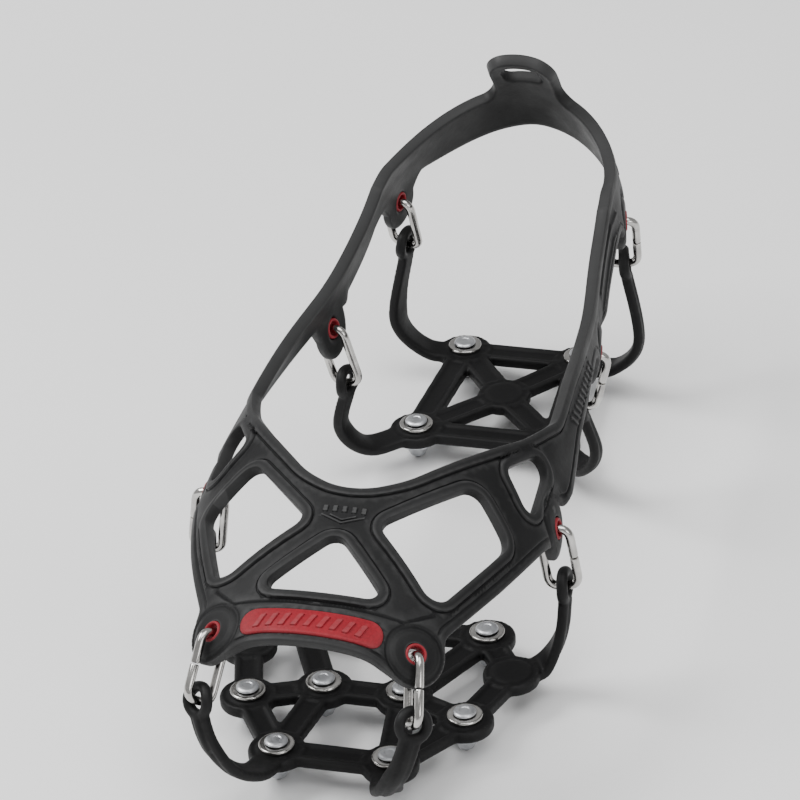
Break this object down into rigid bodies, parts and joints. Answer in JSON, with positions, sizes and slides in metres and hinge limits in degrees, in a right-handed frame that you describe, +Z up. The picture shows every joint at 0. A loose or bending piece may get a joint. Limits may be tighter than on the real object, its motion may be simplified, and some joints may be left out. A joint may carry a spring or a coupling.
{
  "type": "microspikes",
  "caption": "Slip-on ice cleat for one shoe: a stretch rubber harness holds spiked rubber matrices under the sole by swinging steel links.",
  "frame": {"origin": "centre of the footprint's box, on the ground plane under the spike tips", "axes": "+Z up, -Y towards the toe and +Y towards the heel, +X towards the wearer's left"},
  "size_m": [0.1132, 0.2688, 0.1072],
  "materials": {
    "harness_rubber": "matte moulded elastomer, charcoal",
    "red_rubber": "satin moulded elastomer, red",
    "link_steel": "polished stainless wire and washers",
    "matrix_rubber": "matte moulded elastomer, black",
    "spike_aluminium": "turned and blasted",
    "tip_carbide": "sintered tungsten carbide, dark grey"
  },
  "bodies": {
    "harness": {"harness": "harness_rubber", "badge": "red_rubber", "grommet_toe_left": "red_rubber", "grommet_toe_right": "red_rubber", "grommet_ball_left": "red_rubber", "grommet_ball_right": "red_rubber", "grommet_heel_front_left": "red_rubber", "grommet_heel_front_right": "red_rubber", "grommet_heel_rear_left": "red_rubber", "grommet_heel_rear_right": "red_rubber"},
    "link_toe_left": {"link_toe_left": "link_steel"},
    "link_toe_right": {"link_toe_right": "link_steel"},
    "link_ball_left": {"link_ball_left": "link_steel"},
    "link_ball_right": {"link_ball_right": "link_steel"},
    "link_heel_front_left": {"link_heel_front_left": "link_steel"},
    "link_heel_front_right": {"link_heel_front_right": "link_steel"},
    "link_heel_rear_left": {"link_heel_rear_left": "link_steel"},
    "link_heel_rear_right": {"link_heel_rear_right": "link_steel"},
    "forefoot": {"forefoot_matrix": "matrix_rubber", "spike_body_forefoot_front_left": "spike_aluminium", "spike_tip_forefoot_front_left": "tip_carbide", "spike_washer_forefoot_front_left": "link_steel", "spike_body_forefoot_front_right": "spike_aluminium", "spike_tip_forefoot_front_right": "tip_carbide", "spike_washer_forefoot_front_right": "link_steel", "spike_body_forefoot_outer_left": "spike_aluminium", "spike_tip_forefoot_outer_left": "tip_carbide", "spike_washer_forefoot_outer_left": "link_steel", "spike_body_forefoot_outer_right": "spike_aluminium", "spike_tip_forefoot_outer_right": "tip_carbide", "spike_washer_forefoot_outer_right": "link_steel", "spike_body_forefoot_inner_left": "spike_aluminium", "spike_tip_forefoot_inner_left": "tip_carbide", "spike_washer_forefoot_inner_left": "link_steel", "spike_body_forefoot_inner_right": "spike_aluminium", "spike_tip_forefoot_inner_right": "tip_carbide", "spike_washer_forefoot_inner_right": "link_steel", "spike_body_forefoot_rear_left": "spike_aluminium", "spike_tip_forefoot_rear_left": "tip_carbide", "spike_washer_forefoot_rear_left": "link_steel", "spike_body_forefoot_rear_right": "spike_aluminium", "spike_tip_forefoot_rear_right": "tip_carbide", "spike_washer_forefoot_rear_right": "link_steel"},
    "heel": {"heel_matrix": "matrix_rubber", "spike_body_heel_front_left": "spike_aluminium", "spike_tip_heel_front_left": "tip_carbide", "spike_washer_heel_front_left": "link_steel", "spike_body_heel_front_right": "spike_aluminium", "spike_tip_heel_front_right": "tip_carbide", "spike_washer_heel_front_right": "link_steel", "spike_body_heel_rear_left": "spike_aluminium", "spike_tip_heel_rear_left": "tip_carbide", "spike_washer_heel_rear_left": "link_steel", "spike_body_heel_rear_right": "spike_aluminium", "spike_tip_heel_rear_right": "tip_carbide", "spike_washer_heel_rear_right": "link_steel"}
  },
  "joints": [
    {"name": "forefoot_swing", "type": "hinge", "parent": "harness", "child": "forefoot", "pos_m": [0, -0.05044, 0.12925], "axis": [1, 0, 0], "range_deg": [-1.7, 1.7]},
    {"name": "heel_swing", "type": "hinge", "parent": "harness", "child": "heel", "pos_m": [0, 0.0376, 0.25581], "axis": [1, 0, 0], "range_deg": [-0.9, 0.9]},
    {"name": "link_toe_left_swing", "type": "hinge", "parent": "harness", "child": "link_toe_left", "pos_m": [0, -0.11684, 0.05264], "axis": [1, 0, 0], "range_deg": [-11.2, 11.2]},
    {"name": "link_toe_right_swing", "type": "hinge", "parent": "harness", "child": "link_toe_right", "pos_m": [0, -0.11684, 0.05264], "axis": [1, 0, 0], "range_deg": [-11.2, 11.2]},
    {"name": "link_ball_left_swing", "type": "hinge", "parent": "harness", "child": "link_ball_left", "pos_m": [0, -0.05044, 0.0524], "axis": [1, 0, 0], "range_deg": [-8.9, 8.9]},
    {"name": "link_ball_right_swing", "type": "hinge", "parent": "harness", "child": "link_ball_right", "pos_m": [0, -0.05044, 0.0524], "axis": [1, 0, 0], "range_deg": [-8.9, 8.9]},
    {"name": "link_heel_front_left_swing", "type": "hinge", "parent": "harness", "child": "link_heel_front_left", "pos_m": [0, 0.0376, 0.05438], "axis": [1, 0, 0], "range_deg": [-11.1, 11.1]},
    {"name": "link_heel_front_right_swing", "type": "hinge", "parent": "harness", "child": "link_heel_front_right", "pos_m": [0, 0.0376, 0.05438], "axis": [1, 0, 0], "range_deg": [-11.1, 11.1]},
    {"name": "link_heel_rear_left_swing", "type": "hinge", "parent": "harness", "child": "link_heel_rear_left", "pos_m": [0, 0.09474, 0.06533], "axis": [1, 0, 0], "range_deg": [-10.7, 10.7]},
    {"name": "link_heel_rear_right_swing", "type": "hinge", "parent": "harness", "child": "link_heel_rear_right", "pos_m": [0, 0.09474, 0.06533], "axis": [1, 0, 0], "range_deg": [-10.7, 10.7]}
  ],
  "couplings": [
    {"joint": "link_toe_left_swing", "follows": "forefoot_swing", "ratio": 6.52},
    {"joint": "link_toe_right_swing", "follows": "forefoot_swing", "ratio": 6.52},
    {"joint": "link_ball_left_swing", "follows": "forefoot_swing", "ratio": 5.1948},
    {"joint": "link_ball_right_swing", "follows": "forefoot_swing", "ratio": 5.1948},
    {"joint": "link_heel_front_left_swing", "follows": "heel_swing", "ratio": 12.25},
    {"joint": "link_heel_front_right_swing", "follows": "heel_swing", "ratio": 12.25},
    {"joint": "link_heel_rear_left_swing", "follows": "heel_swing", "ratio": 11.762},
    {"joint": "link_heel_rear_right_swing", "follows": "heel_swing", "ratio": 11.762}
  ]
}
